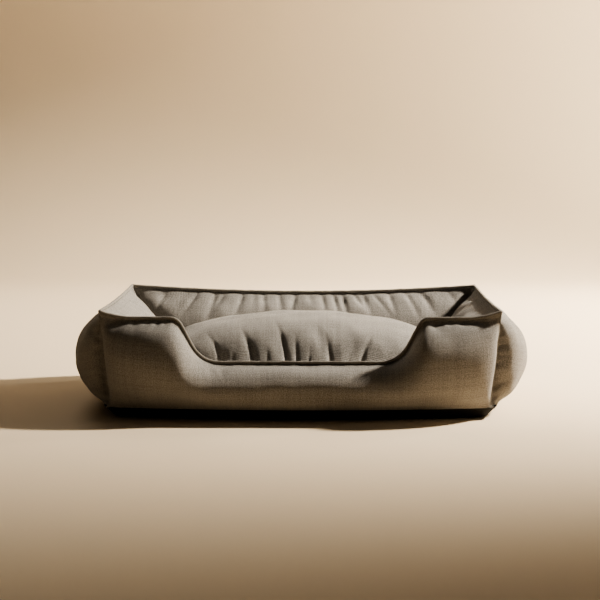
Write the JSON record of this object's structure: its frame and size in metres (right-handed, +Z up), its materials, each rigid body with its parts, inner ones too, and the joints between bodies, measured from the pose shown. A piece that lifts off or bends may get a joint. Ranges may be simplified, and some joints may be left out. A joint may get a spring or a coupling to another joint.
{
  "type": "pet cushion bed",
  "caption": "Bolster-walled pet bed in piped canvas with a low scooped entrance, a removable domed cushion and a non-slip base.",
  "frame": {"origin": "on the floor under the middle of the bed", "axes": "+X to the right along the long side, -Y to the front, where the low entrance is, +Z up"},
  "size_m": [0.8998, 0.6503, 0.2074],
  "materials": {
    "canvas": "matte",
    "piping_fabric": "matte",
    "nonslip_fabric": "matte",
    "fibre_fill": "matte",
    "foam": "matte",
    "cotton_cord": "matte",
    "zip_tape": "matte",
    "zip_coil": "satin",
    "zip_metal": "satin"
  },
  "bodies": {
    "bed": {"base_floor_panel": "canvas", "base_foam_pad": "foam", "base_nonslip_panel": "nonslip_fabric", "casing_zip_coil": "zip_coil", "casing_zip_stops": "zip_metal", "casing_zip_tape_lower": "zip_tape", "casing_zip_tape_upper": "zip_tape", "front_bolster_fill": "fibre_fill", "front_inner_panel": "canvas", "front_outer_panel": "canvas", "front_piping_cord": "cotton_cord", "front_piping_cover": "piping_fabric", "left_bolster_fill": "fibre_fill", "left_inner_panel": "canvas", "left_outer_panel": "canvas", "left_piping_cord": "cotton_cord", "left_piping_cover": "piping_fabric", "rear_bolster_fill": "fibre_fill", "rear_inner_panel": "canvas", "rear_outer_panel": "canvas", "rear_piping_cord": "cotton_cord", "rear_piping_cover": "piping_fabric", "right_bolster_fill": "fibre_fill", "right_inner_panel": "canvas", "right_outer_panel": "canvas", "right_piping_cord": "cotton_cord", "right_piping_cover": "piping_fabric"},
    "cushion": {"cushion_bottom_panel": "canvas", "cushion_fill": "fibre_fill", "cushion_top_panel": "canvas", "cushion_welt": "piping_fabric", "cushion_zip_coil": "zip_coil", "cushion_zip_stops": "zip_metal", "cushion_zip_tape_lower": "zip_tape", "cushion_zip_tape_upper": "zip_tape"},
    "cushion_slider": {"cushion_zip_slider": "zip_metal"},
    "cushion_pull": {"cushion_zip_pull": "zip_metal"},
    "casing_slider": {"casing_zip_slider": "zip_metal"},
    "casing_pull": {"casing_zip_pull": "zip_metal"}
  },
  "joints": [
    {"name": "cushion_lift", "type": "slide", "parent": "bed", "child": "cushion", "axis": [0, 0, 1], "range_m": [0, 0.25]},
    {"name": "cushion_zip_travel", "type": "slide", "parent": "cushion", "child": "cushion_slider", "axis": [1, 0, 0], "range_m": [-0.288, 0]},
    {"name": "cushion_pull_swing", "type": "hinge", "parent": "cushion_slider", "child": "cushion_pull", "pos_m": [0.144, 0.1705, 0.046], "axis": [0, 0, -1], "range_deg": [0, 180]},
    {"name": "casing_zip_travel", "type": "slide", "parent": "bed", "child": "casing_slider", "axis": [1, 0, 0], "range_m": [-0.348, 0]},
    {"name": "casing_pull_swing", "type": "hinge", "parent": "casing_slider", "child": "casing_pull", "pos_m": [0.174, 0.2565, 0.011], "axis": [0, 0, -1], "range_deg": [0, 180]}
  ]
}
